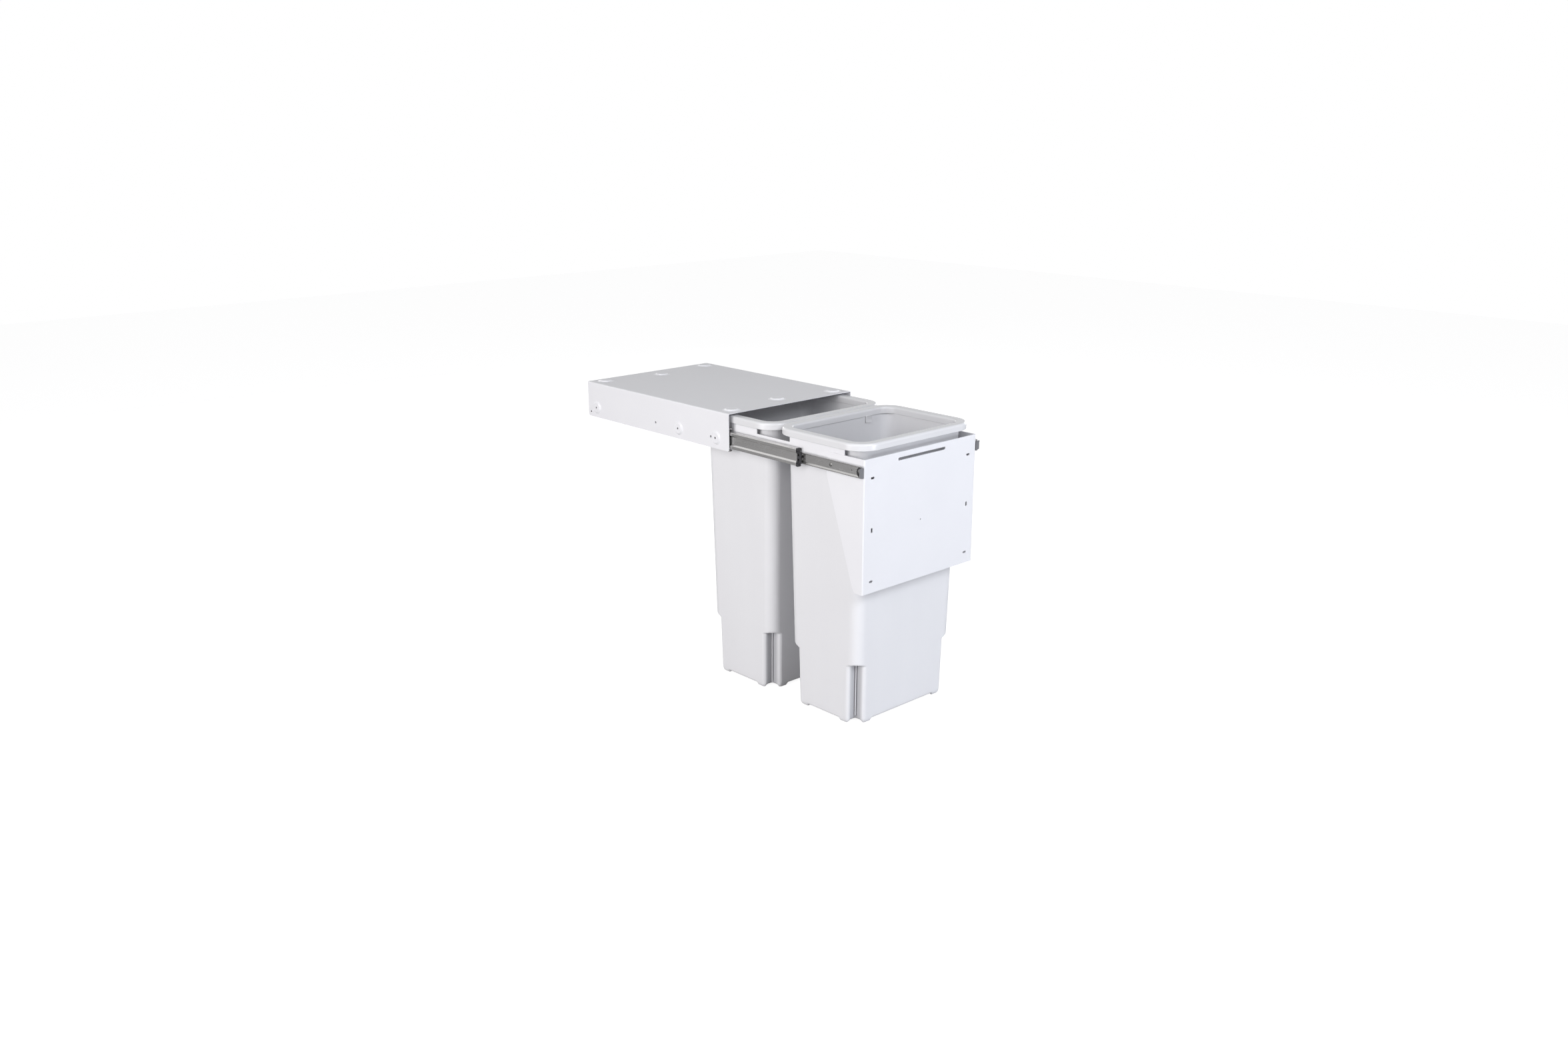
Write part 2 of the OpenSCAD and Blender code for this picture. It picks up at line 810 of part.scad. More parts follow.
// Side plate with its two raised tabs under the buckets' flanges
plate_gap = 2;
module carrier_side(s) {
    y0 = face_y + bend_r + plate_gap;
    y1 = rail_y + sheet;
    color(paint)
        on_side(s) {
            difference() {
                along_x(side_x - sheet, side_x)
                    polygon(concat(
                        [[y0, side_bottom], [y0, bracket_top]],
                        [for (y = bucket_ys, p = [[-1, 0], [-1, 1], [1, 1], [1, 0]])
                            [y + tab_shift + p.x * tab_l / 2, p.y == 0 ? bracket_top : tab_z]],
                        [[y1, bracket_top], [y1, side_bottom]]
                    ));
                side_drill(side_x, seats, seat_d - 2 * pad_join);
                side_drill(side_x, [seat_front_y], screw_d + screw_fit);
                side_drill(side_x, rivet_ys, rivet_d);
                side_drill(side_x, [rail_y - rail_flange / 2], rivet_d, rail_rivet_up);
            }
            side_pads(side_x, seats, seat_h + sheet);
        }
}

// Rear cross rail with its end flanges folded forward against the side plates
module rear_rail() {
    rail_w = 2 * (side_x - sheet);
    rail_h = bracket_top - side_bottom;
    color(paint)
        difference() {
            translate([0, 0, side_bottom])
                linear_extrude(rail_h)
                    difference() {
                        translate([0, rail_y + sheet - rail_flange])
                            rounded(rail_w, 2 * rail_flange, bend_r);
                        translate([0, rail_y + sheet - rail_flange])
                            rounded(rail_w - 2 * sheet, 2 * (rail_flange - sheet), bend_r - sheet);
                        translate([-rail_w, rail_y + sheet - 4 * rail_flange])
                            square([2 * rail_w, 3 * rail_flange]);
                    }
            for (s = [-1, 1])
                on_side(s)
                    side_drill(side_x - sheet, [rail_y - rail_flange / 2], rivet_d, rail_rivet_up);
        }
}

// Rivets through two sheets, with a low head on either face; outer is the outermost face
module side_rivets(outer, ys, up = 0) {
    for (s = [-1, 1], y = ys)
        on_side(s)
            translate([outer, y, slide_z + up])
                rotate([0, 90, 0]) {
                    translate([0, 0, -2 * sheet])
                        cylinder(d = rivet_d, h = 2 * sheet);
                    domed_head(rivet_head_d, rivet_head_h);
                    translate([0, 0, -2 * sheet])
                        mirror([0, 0, 1])
                            domed_head(rivet_head_d, rivet_head_h);
                }
}

module rail_rivets() {
    color(bright)
        side_rivets(side_x, [rail_y - rail_flange / 2], rail_rivet_up);
}

module bracket_rivets() {
    color(bright)
        side_rivets(carrier_w / 2, rivet_ys);
}

// Door plate with its two tapered side gussets, folded from one sheet
foot_cut = [6, 8];
module front_bracket() {
    gusset = [
        [-cut, 0], [gusset_d, 0], [gusset_d, -gusset_top],
        [gusset_foot + foot_cut.x, foot_cut.y - plate_h], [gusset_foot, -plate_h], [-cut, -plate_h],
    ];
    slot_mid = -slot_drop - slot_z / 2;
    color(paint) {
        difference() {
            intersection() {
                translate([0, 0, bracket_top - plate_h])
                    linear_extrude(plate_h)
                        difference() {
                            translate([0, face_y + gusset_d + cut])
                                rounded(carrier_w, 2 * (gusset_d + cut), bend_r);
                            translate([0, face_y + gusset_d + cut])
                                rounded(carrier_w - 2 * sheet, 2 * (gusset_d + cut - sheet), bend_r - sheet);
                            translate([-carrier_w, face_y + gusset_d])
                                square([2 * carrier_w, 3 * gusset_d]);
                        }
                along_x(-carrier_w, carrier_w)
                    translate([face_y, bracket_top])
                        polygon(gusset);
            }
            along_y(face_y - cut, face_y + sheet + cut)
                translate([0, bracket_top]) {
                    for (sx = [-1, 1], z = [-slot_drop, -slot_drop - slot_z])
                        translate([sx * slot_x / 2, z])
                            slot(slot_l, slot_w);
                    for (sx = [-1, 1])
                        translate([sx * slot_x / 2, slot_mid])
                            rotate(90)
                                slot(slot_l, slot_w);
                    translate([0, -hand_slot_drop])
                        slot(hand_slot_l, hand_slot_h);
                    translate([0, slot_mid - centre_hole_drop])
                        circle(d = centre_hole_d);
                }
            for (s = [-1, 1])
                on_side(s) {
                    side_drill(carrier_w / 2, [seat_front_y], seat_d - 2 * pad_join);
                    side_drill(carrier_w / 2, rivet_ys, rivet_d);
                }
        }
        for (s = [-1, 1])
            on_side(s)
                side_pads(carrier_w / 2, [seat_front_y], seat_h);
    }
}

// Corner of a bucket's plan in its own quarter, as points from the +X face to the +Y face
// A convex corner of radius r, or a notch of size n between rounded flanks with a rib in its hollow
// The first and last two points lie on the flat walls, where a foot ramps down
function arc(c, r, a0, a1, n) = [for (i = [0 : n]) let (a = a0 + (a1 - a0) * i / n) c + r * [cos(a), sin(a)]];
function first_wall(hx, y) = [[hx, y - foot_l - foot_h], [hx, y - foot_l]];
function last_wall(x, hy) = [[x - foot_l, hy], [x - foot_l - foot_h, hy]];
function convex_corner(hx, hy, r) = concat(
    first_wall(hx, hy - r),
    arc([hx - r, hy - r], r, 0, 90, 3 * corner_n / 2 + 2),
    last_wall(hx - r, hy)
);
function notched_corner(hx, hy, n, r, rib) =
    let (k = corner_n / 2, hollow = [hx - n + notch_r, hy - n + notch_r]) concat(
        first_wall(hx, hy - n - r),
        arc([hx - r, hy - n - r], r, 0, 90, k),
        arc(hollow, notch_r, 270, 225 + 45 / k, k / 2 - 1),
        [hollow - (notch_r - rib) * [1, 1] / sqrt(2)],
        arc(hollow, notch_r, 225 - 45 / k, 180, k / 2 - 1),
        arc([hx - n - r, hy - r], r, 0, 90, k),
        last_wall(hx - n - r, hy)
    );
function quarter(pts, sx, sy) = let (q = [for (p = pts) [sx * p.x, sy * p.y]])
    sx * sy > 0 ? q : reversed(q);
function plan_of(corner) = [for (q = [[1, 1], [-1, 1], [-1, -1], [1, -1]]) each quarter(corner, q.x, q.y)];
function level(corner, z) = [for (p = plan_of(corner)) [p.x, p.y, z]];

// Half sizes of a bucket's outside at height z
function half_w(z) = (base_w + (top_w - base_w) * (z - base_z) / bucket_h) / 2;
function half_d(z) = (base_d + (top_d - base_d) * (z - base_z) / bucket_h) / 2;

// One wall level of a bucket, moved in by t: round above the notches, notched below
function round_level(z, t) = level(convex_corner(half_w(z) - t, half_d(z) - t, bucket_r - t), z);
function notch_level(z, t) = let (rib = t == 0 ? notch_rib : 0)
    level(notched_corner(half_w(z) - t, half_d(z) - t, notch, flank_r - t / 2, rib), z);
function flange_level(z) = level(convex_corner(flange_w / 2, flange_d / 2, flange_r), z);

// Feet hang under the flanks of the notches: full from the wall to mid-flank, gone at the hollow
function foot_share(k) = k == 0 ? 0 : max(0, min(1, 2 + 4 * (2 - k) / corner_n));
function footed(pts, n) = [
    for (i = [0 : len(pts) - 1])
        pts[i] - [0, 0, foot_h * foot_share(min(i % n, n - 1 - i % n))]
];

notch_z = base_z + notch_h;
floor_z = base_z + bucket_wall;
slope = notch / 5;
bucket_levels = let (n = len(convex_corner(1, 1, 1)), w = bucket_wall)
    [
        notch_level(base_z, base_r / 2 + flank_r),
        footed(notch_level(base_z, base_r), n),
        footed(notch_level(base_z + 0.3 * base_r, 0.3 * base_r), n),
        notch_level(base_z + 1.5 * base_r, 0),
        notch_level(notch_z, 0),
        round_level(notch_z + slope, 0),
        round_level(tab_z, 0),
        flange_level(tab_z),
        flange_level(rim_z),
        round_level(rim_z, w),
        round_level(notch_z + slope + w, w),
        notch_level(notch_z + w, w),
        notch_level(floor_z + base_r, w),
        notch_level(floor_z, w + base_r),
    ];

// A closed loft through the levels, with a flat fan from a middle point on the first and the last
module loft(levels) {
    n = len(levels[0]);
    m = len(levels);
    middles = [for (l = [levels[0], levels[m - 1]]) [0, 0, l[0].z]];
    sides = [
        for (j = [0 : m - 2], i = [0 : n - 1]) let (k = (i + 1) % n, a = j * n, b = a + n)
            each [[a + i, b + i, b + k], [a + i, b + k, a + k]]
    ];
    caps = [
        for (i = [0 : n - 1]) let (k = (i + 1) % n, a = (m - 1) * n)
            each [[m * n, i, k], [m * n + 1, a + k, a + i]]
    ];
    polyhedron(concat([for (l = levels) each l], middles), concat(sides, caps), convexity = 6);
}

module bucket(y) {
    color(bucket_grey)
        translate([0, y, 0])
            loft(bucket_levels);
}

// Inverted-U section of a liner ring: x from the ring's inner edge, y from its lower edge
module ring_section() {
    difference() {
        union() {
            square([ring_band, ring_h - ring_edge_r]);
            translate([ring_edge_r, 0])
                square([ring_band - 2 * ring_edge_r, ring_h]);
            for (x = [ring_edge_r, ring_band - ring_edge_r])
                translate([x, ring_h - ring_edge_r])
                    circle(ring_edge_r);
        }
        translate([ring_wall, -cut])
            square([ring_band - 2 * ring_wall, ring_h - ring_wall + cut]);
    }
}

module liner_ring(y) {
    run = [ring_w - 2 * ring_r, ring_d - 2 * ring_r];
    inner_y = ring_d / 2 - ring_band;
    color(ring_white)
        translate([0, y, ring_top - ring_h]) {
            for (a = [0 : 90 : 270]) {
                side = a % 180 == 0 ? run : [run.y, run.x];
                rotate(a) {
                    translate([side.x / 2, side.y / 2, 0])
                        rotate_extrude(angle = 90)
                            translate([ring_r - ring_band, 0])
                                ring_section();
                    translate([-side.x / 2, side.y / 2 + ring_r - ring_band, 0])
                        rotate([90, 0, 90])
                            linear_extrude(side.x)
                                ring_section();
                }
            }
            translate([clip_right - clip_w / 2, inner_y - clip_proud, ring_h - ring_edge_r - clip_h])
                cube([clip_w, ring_wall, clip_h]);
        }
}

top_housing();
slide_outer(-1);  // slide_outer_left
slide_outer(1);  // slide_outer_right
slide_middle(-1);  // slide_middle_left
slide_middle(1);  // slide_middle_right
slide_inner(-1);  // slide_inner_left
slide_inner(1);  // slide_inner_right
outer_cage(-1);  // outer_cage_left
outer_cage(1);  // outer_cage_right
outer_balls(-1);  // outer_balls_left
outer_balls(1);  // outer_balls_right
inner_cage(-1);  // inner_cage_left
inner_cage(1);  // inner_cage_right
inner_balls(-1);  // inner_balls_left
inner_balls(1);  // inner_balls_right
middle_stop(-1);  // middle_stop_left
middle_stop(1);  // middle_stop_right
end_stop(-1);  // end_stop_left
end_stop(1);  // end_stop_right
stop_rivet(-1);  // stop_rivet_left
stop_rivet(1);  // stop_rivet_right
rear_bumper(-1);  // rear_bumper_left
rear_bumper(1);  // rear_bumper_right
front_guide(-1);  // front_guide_left
front_guide(1);  // front_guide_right
slide_screws(-1);  // slide_screws_left
slide_screws(1);  // slide_screws_right
carrier_screws(-1);  // carrier_screws_left
carrier_screws(1);  // carrier_screws_right
carrier_side(-1);  // carrier_side_left
carrier_side(1);  // carrier_side_right
rear_rail();
rail_rivets();
front_bracket();
bracket_rivets();
bucket(bucket_ys[0]);  // bucket_front
bucket(bucket_ys[1]);  // bucket_rear
liner_ring(bucket_ys[0]);  // liner_ring_front
liner_ring(bucket_ys[1]);  // liner_ring_rear
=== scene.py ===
import json
from math import radians

import bpy
import numpy as np
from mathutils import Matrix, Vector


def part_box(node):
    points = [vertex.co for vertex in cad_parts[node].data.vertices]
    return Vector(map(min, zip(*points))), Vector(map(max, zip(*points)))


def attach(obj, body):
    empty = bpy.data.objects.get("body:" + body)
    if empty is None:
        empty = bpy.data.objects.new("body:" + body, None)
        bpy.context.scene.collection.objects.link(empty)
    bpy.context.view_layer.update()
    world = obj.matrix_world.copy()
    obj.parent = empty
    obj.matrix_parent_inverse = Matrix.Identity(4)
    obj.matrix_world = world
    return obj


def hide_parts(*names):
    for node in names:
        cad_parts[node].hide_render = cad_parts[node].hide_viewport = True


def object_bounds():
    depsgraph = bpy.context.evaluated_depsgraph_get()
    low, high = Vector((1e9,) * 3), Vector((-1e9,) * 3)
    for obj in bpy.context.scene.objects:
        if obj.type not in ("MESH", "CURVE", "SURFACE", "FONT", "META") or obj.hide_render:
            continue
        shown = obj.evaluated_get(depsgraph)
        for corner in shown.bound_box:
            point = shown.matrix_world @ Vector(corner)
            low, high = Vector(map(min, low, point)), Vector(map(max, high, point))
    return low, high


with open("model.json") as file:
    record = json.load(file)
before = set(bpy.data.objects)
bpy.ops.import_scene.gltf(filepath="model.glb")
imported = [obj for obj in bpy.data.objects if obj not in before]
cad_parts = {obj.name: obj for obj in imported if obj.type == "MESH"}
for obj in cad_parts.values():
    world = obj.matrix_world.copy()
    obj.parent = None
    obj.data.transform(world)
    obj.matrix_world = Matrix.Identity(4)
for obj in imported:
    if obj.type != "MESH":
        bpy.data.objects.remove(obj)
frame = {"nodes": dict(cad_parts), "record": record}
nodes = frame["nodes"]
cadBox = [list(corner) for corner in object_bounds()]
scene = bpy.context.scene
scene.view_settings.view_transform = "Standard"
print("frame loaded with", len(nodes), "nodes")


# Camera at the photograph's angle, as solved from the housing and the door plate
cameraSet = {
    "place": (-2.0252, -2.1987, 0.5996),
    "tilt": 73.498,
    "turn": -42.939,
    "lens": 31.78,
    "sensor": 36.0,
    "farClip": 100.0,
}


def placeCamera():
    data = bpy.data.cameras.new("photoCamera")
    data.sensor_width = cameraSet["sensor"]
    data.lens = cameraSet["lens"]
    data.clip_end = cameraSet["farClip"]
    camera = bpy.data.objects.new("photoCamera", data)
    camera.location = cameraSet["place"]
    camera.rotation_euler = (radians(cameraSet["tilt"]), 0.0, radians(cameraSet["turn"]))
    scene.collection.objects.link(camera)
    scene.camera = camera


placeCamera()
print("camera placed")


# A link for a Wire, and a plain value for anything else
def plug(tree, socket, value):
    if isinstance(value, Wire):
        tree.links.new(value.socket, socket)
    else:
        socket.default_value = value


# Shader sums: a Wire is one socket, and an expression on Wires adds its Math nodes
class Wire:
    def __init__(self, tree, socket):
        self.tree = tree
        self.socket = socket

    def maths(self, operation, first, second):
        made = self.tree.nodes.new("ShaderNodeMath")
        made.operation = operation
        plug(self.tree, made.inputs[0], first)
        plug(self.tree, made.inputs[1], second)
        return Wire(self.tree, made.outputs[0])

    def __add__(self, other):
        return self.maths("ADD", self, other)

    def __radd__(self, other):
        return self.maths("ADD", other, self)

    def __sub__(self, other):
        return self.maths("SUBTRACT", self, other)

    def __rsub__(self, other):
        return self.maths("SUBTRACT", other, self)

    def __mul__(self, other):
        return self.maths("MULTIPLY", self, other)

    def __rmul__(self, other):
        return self.maths("MULTIPLY", other, self)


socketNames = {
    "colour": "Base Color",
    "rough": "Roughness",
    "metal": "Metallic",
    "normal": "Normal",
    "shine": "Specular IOR Level",
}


# One material: node() adds any node from its type, its settings and its sockets
class Finish:
    def __init__(self, name):
        self.material = bpy.data.materials.new(name)
        self.material.use_nodes = True
        self.tree = self.material.node_tree
        self.shader = self.tree.nodes["Principled BSDF"]

    def node(self, kind, settings, sockets, out=0):
        made = self.tree.nodes.new("ShaderNode" + kind)
        for key, value in settings.items():
            setattr(made, key, value)
        for key, value in sockets.items():
            plug(self.tree, made.inputs[key], value)
        return Wire(self.tree, made.outputs[out])

    def place(self, stretch=(1.0, 1.0, 1.0)):
        where = self.node("TexCoord", {}, {}, "Object")
        return self.node("Mapping", {}, {"Vector": where, "Scale": stretch})

    def noise(self, scale, detail, stretch=(1.0, 1.0, 1.0)):
        sockets = {"Vector": self.place(stretch), "Scale": scale, "Detail": detail}
        return self.node("TexNoise", {}, sockets)

    def blend(self, share, first, second):
        return self.node("Mix", {"data_type": "RGBA"}, {"Factor": share, 6: first, 7: second}, 2)

    def bump(self, height, strength, distance):
        return self.node("Bump", {}, {"Height": height, "Strength": strength, "Distance": distance})

    def surface(self, **sockets):
        for key, value in sockets.items():
            plug(self.tree, self.shader.inputs[socketNames[key]], value)
        return self.material


# A colour times a factor, with full alpha
def tinted(colour, factor):
    return tuple(factor * part for part in colour[:3]) + (1.0,)


# A noise as a swing about zero: its distance from its middle, times a width
def swing(noise, width):
    return width * (noise - 0.5)


# Powder coat: faint mottle in colour and gloss, and a fine orange peel
# In this and the other finishes a noise is its scale, detail and stretch, and a bump its strength and depth
powderCoat = {
    "light": (0.86, 0.86, 0.885),
    "shade": (0.825, 0.825, 0.855),
    "padHighlightLift": 1.12,  # painted highlight: the roof pads' rims are paler, as if lit
    "mottle": (9.0, 4.0),
    "peel": (520.0, 2.0),
    "speck": (2600.0, 1.0),
    "speckHeight": 0.25,
    "rough": 0.36,
    "mottleSwing": 0.10,
    "peelSwing": 0.05,
    "bump": (0.22, 0.00012),
    "shine": 0.3,
}


def makePowderCoat(name, lift):
    made = Finish(name)
    mottle = made.noise(*powderCoat["mottle"])
    peel = made.noise(*powderCoat["peel"])
    speck = made.noise(*powderCoat["speck"])
    light = tinted(powderCoat["light"], lift)
    shade = tinted(powderCoat["shade"], lift)
    gloss = powderCoat["rough"] + swing(mottle, powderCoat["mottleSwing"])
    return made.surface(
        colour=made.blend(mottle, shade, light),
        rough=gloss + swing(peel, powderCoat["peelSwing"]),
        normal=made.bump(peel + powderCoat["speckHeight"] * speck, *powderCoat["bump"]),
        shine=powderCoat["shine"],
    )


# Zinc-plated strip: rolling marks run along Y, with a cloudy plating over them; the inner member takes a
# darker copy as painted shade
zincStrip = {
    "light": (0.685, 0.677, 0.668),
    "shade": (0.61, 0.603, 0.595),
    "innerShadeTone": 0.88,
    "streak": (60.0, 3.0, (8.0, 0.12, 8.0)),
    "hair": (420.0, 2.0, (6.0, 0.05, 6.0)),
    "cloud": (24.0, 3.0),
    "shares": (0.5, 0.3, 0.2),  # of streak, hair and cloud in the tone
    "metal": 0.95,
    "rough": 0.26,
    "streakSwing": 0.08,
    "cloudSwing": 0.05,
    "bump": (0.08, 0.00004),
}


def makeZincStrip(name, tone):
    made = Finish(name)
    streak = made.noise(*zincStrip["streak"])
    hair = made.noise(*zincStrip["hair"])
    cloud = made.noise(*zincStrip["cloud"])
    streakShare, hairShare, cloudShare = zincStrip["shares"]
    marks = streakShare * streak + hairShare * hair + cloudShare * cloud
    gloss = zincStrip["rough"] + swing(streak, zincStrip["streakSwing"])
    return made.surface(
        colour=made.blend(marks, tinted(zincStrip["shade"], tone), tinted(zincStrip["light"], tone)),
        metal=zincStrip["metal"],
        rough=gloss + swing(cloud, zincStrip["cloudSwing"]),
        normal=made.bump(hair, *zincStrip["bump"]),
    )


# Bright fixings, balls and retainers share one recipe: a cloudy tint over fine tool marks
brightSteel = {
    "cloud": (160.0, 3.0),
    "fineDetail": 2.0,
    "dark": 0.72,
    "metal": 1.0,
    "fineSwing": 0.14,
    "bump": (0.08, 0.00004),
}


def makeBrightSteel(name, tint, rough, grain):
    made = Finish(name)
    cloud = made.noise(*brightSteel["cloud"])
    fine = made.noise(grain, brightSteel["fineDetail"])
    return made.surface(
        colour=made.blend(cloud, tinted(tint, brightSteel["dark"]), tint),
        metal=brightSteel["metal"],
        rough=rough + swing(fine, brightSteel["fineSwing"]),
        normal=made.bump(fine, *brightSteel["bump"]),
    )


# Moulded acetal and rubber: spark-eroded grain, slightly worn gloss
blackMoulding = {
    "worn": (70.0, 3.0),
    "grainDetail": 3.0,
    "pale": 1.9,
    "wornSwing": 0.18,
    "bump": (0.35, 0.00010),
    "shine": 0.45,
}


# The gloss and grain of every moulding, under a colour of its own
def mouldedSurface(made, colour, worn, rough, grain):
    grained = made.noise(grain, blackMoulding["grainDetail"])
    return made.surface(
        colour=colour,
        rough=rough + swing(worn, blackMoulding["wornSwing"]),
        normal=made.bump(grained, *blackMoulding["bump"]),
        shine=blackMoulding["shine"],
    )


def makeBlackMoulding(name, tint, rough, grain):
    made = Finish(name)
    worn = made.noise(*blackMoulding["worn"])
    colour = made.blend(worn, tint, tinted(tint, blackMoulding["pale"]))
    return mouldedSurface(made, colour, worn, rough, grain)


# End stop: one black moulding, its flange in front painted pale as painted light and its plug behind left
# black, told apart by how far along Y they lie
stopMoulding = {
    # pale is painted light on the front-lit flange; dark is the moulding's own black
    "pale": (0.19, 0.19, 0.20, 1.0),
    "dark": (0.02, 0.02, 0.022, 1.0),
    "flange": 0.0021,
    "change": 0.0003,
    "rough": 0.42,
    "grain": 1400.0,
}


def makeStopMoulding():
    made = Finish("stopAcetalPaintedLight")
    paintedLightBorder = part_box("end_stop_left")[0].y + stopMoulding["flange"]
    along = made.node("SeparateXYZ", {}, {"Vector": made.place()}, "Y")
    pastPaintedLight = made.node("Clamp", {}, {"Value": (along - paintedLightBorder) * (1.0 / stopMoulding["change"])})
    colour = made.blend(pastPaintedLight, stopMoulding["pale"], stopMoulding["dark"])
    worn = made.noise(*blackMoulding["worn"])
    return mouldedSurface(made, colour, worn, stopMoulding["rough"], stopMoulding["grain"])


# Polypropylene: flow marks run down the walls over a soft mottle, with a fine mould texture
bucketPlastic = {
    "light": (0.82, 0.82, 0.838, 1.0),
    "shade": (0.775, 0.775, 0.798, 1.0),
    "hollow": (0.30, 0.30, 0.32, 1.0),  # painted shade in the groove beside each rib
    "flow": (26.0, 3.0, (1.0, 1.0, 0.10)),
    "mottle": (7.0, 3.0),
    "mould": (900.0, 2.0),
    "flowShare": 0.55,
    "flowHeight": 0.6,
    "rough": 0.40,
    "flowSwing": 0.12,
    "mouldSwing": 0.06,
    "bump": (0.12, 0.00012),
    "shine": 0.15,
}


def makeBucketPlastic():
    made = Finish("bucketPlastic")
    flow = made.noise(*bucketPlastic["flow"])
    mottle = made.noise(*bucketPlastic["mottle"])
    mould = made.noise(*bucketPlastic["mould"])
    tone = bucketPlastic["flowShare"] * flow + (1.0 - bucketPlastic["flowShare"]) * mottle
    plain = made.blend(tone, bucketPlastic["shade"], bucketPlastic["light"])
    # Painted shade: the hollow attribute blends in a darker colour where the groove beside each rib lies in
    # shade
    hollow = made.node("Attribute", {"attribute_name": "hollow"}, {}, "Fac")
    gloss = bucketPlastic["rough"] + swing(flow, bucketPlastic["flowSwing"])
    return made.surface(
        colour=made.blend(hollow, plain, bucketPlastic["hollow"]),
        rough=gloss + swing(mould, bucketPlastic["mouldSwing"]),
        normal=made.bump(mould + bucketPlastic["flowHeight"] * flow, *bucketPlastic["bump"]),
        shine=bucketPlastic["shine"],
    )


# Liner rings: the same plastic from a polished mould
ringPlastic = {
    "light": (0.77, 0.77, 0.785, 1.0),
    "shade": (0.73, 0.73, 0.75, 1.0),
    "mottle": (16.0, 3.0),
    "mould": (700.0, 2.0),
    "rough": 0.24,
    "mottleSwing": 0.03,
    "bump": (0.05, 0.00010),
    "shine": 0.5,
}


def makeRingPlastic():
    made = Finish("ringPlastic")
    mottle = made.noise(*ringPlastic["mottle"])
    mould = made.noise(*ringPlastic["mould"])
    return made.surface(
        colour=made.blend(mottle, ringPlastic["shade"], ringPlastic["light"]),
        rough=ringPlastic["rough"] + swing(mottle, ringPlastic["mottleSwing"]),
        normal=made.bump(mould, *ringPlastic["bump"]),
        shine=ringPlastic["shine"],
    )


# One finish for each of the record's slots; steels and mouldings take a tint, a roughness and a grain
finishes = {
    "white_powder_coat": makePowderCoat("whitePowderCoat", 1.0),
    "zinc_strip": makeZincStrip("zincStrip", 1.0),
    "retainer_steel": makeBrightSteel("retainerSteel", (0.52, 0.52, 0.51, 1.0), 0.34, 500.0),
    "ball_steel": makeBrightSteel("ballSteel", (0.74, 0.74, 0.75, 1.0), 0.12, 900.0),
    "black_plastic": makeBlackMoulding("blackAcetal", (0.026, 0.026, 0.029, 1.0), 0.36, 1400.0),
    "bumper_rubber": makeBlackMoulding("bumperRubber", (0.016, 0.016, 0.016, 1.0), 0.72, 800.0),
    # The fixings' dark tint is partly painted shade: it makes the screw tails in their holes read as shaded,
    # and the heads take it too
    "bright_fixings": makeBrightSteel("fixingsWithPaintedShade", (0.25, 0.247, 0.243, 1.0), 0.34, 600.0),
    "bucket_plastic": makeBucketPlastic(),
    "ring_plastic": makeRingPlastic(),
}
# Nodes whose tone differs from the rest of their slot: painted light on the end stop's flange, painted shade
# on the inner slide member
ownFinishes = {
    "end_stop": makeStopMoulding(),
    # The inner member's zinc is a darker copy of the strip: painted shade
    "slide_inner": makeZincStrip("paintedShadeZincStrip", zincStrip["innerShadeTone"]),
}
# The roof pads' rims take a paler copy of the powder coat: painted highlight
padHighlightCoat = makePowderCoat("padHighlightPowderCoat", powderCoat["padHighlightLift"])
print("finishes made:", ", ".join(finishes))


# Each CAD node takes its slot's finish, unless its kind, its name without the side, has its own
def paintNodes():
    for part in frame["record"]["subparts"]:
        kind = part["node"].rpartition("_")[0]
        finish = ownFinishes.get(kind, finishes[part["material_slot"]])
        for place in nodes[part["node"]].material_slots:
            place.material = finish


paintNodes()
print("CAD nodes painted")


# Quads of a grid of points: columns wrap round, and rows wrap too where the profile is closed
def gridFaces(rows, columns, closed):
    row = np.arange(rows if closed else rows - 1)[:, None]
    column = np.arange(columns)[None, :]
    nextRow = (row + 1) % rows
    nextColumn = (column + 1) % columns
    corners = [
        row * columns + column,
        row * columns + nextColumn,
        nextRow * columns + nextColumn,
        nextRow * columns + column,
    ]
    return np.stack(corners, axis=-1).reshape(-1, 4)


# The same faces for copies of one set of points, each copy's numbers starting after the last one's
def repeatFaces(faces, size, copies):
    starts = size * np.arange(copies)[:, None, None]
    return (faces + starts).reshape(-1, faces.shape[1]).tolist()


# Closed tubes: a grid's quads, with its first and last row as end polygons; turned puts the other side out
def tubeFaces(rows, columns, turned, copies=1):
    order = -1 if turned else 1
    first = np.arange(columns)[::-1]
    last = np.arange(columns) + (rows - 1) * columns
    ends = np.stack([first, last])[:, ::order]
    quads = gridFaces(rows, columns, False)[:, ::order]
    size = rows * columns
    return repeatFaces(quads, size, copies) + repeatFaces(ends, size, copies)


# A mesh of points and faces that rides on its body, takes its slot's finish and hides the nodes it stands for
def addPiece(name, points, faces, body, slot, replaced=(), sharp=38.0, marks=None, finish=None):
    mesh = bpy.data.meshes.new(name)
    mesh.from_pydata(points.reshape(-1, 3).tolist(), [], faces)
    mesh.validate()
    # Marks, where given, are painted shade: a point attribute that darkens the finish's colour
    if marks is not None:
        mesh.attributes.new("hollow", "FLOAT", "POINT").data.foreach_set("value", marks.ravel())
    mesh.shade_smooth()
    mesh.set_sharp_from_angle(angle=radians(sharp))
    mesh.materials.append(finish or finishes[slot])
    piece = bpy.data.objects.new(name, mesh)
    scene.collection.objects.link(piece)
    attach(piece, body)
    if replaced:
        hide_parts(*replaced)


# Points on arcs: each centre, plus its radius times the cosine and sine of evenly spaced angles
def arcPoints(centre, radius, start, end, count):
    turn = np.radians(np.linspace(start, end, count))
    spokes = np.stack([np.cos(turn), np.sin(turn)], axis=-1)
    return np.asarray(centre)[..., None, :] + np.asarray(radius)[..., None, None] * spokes


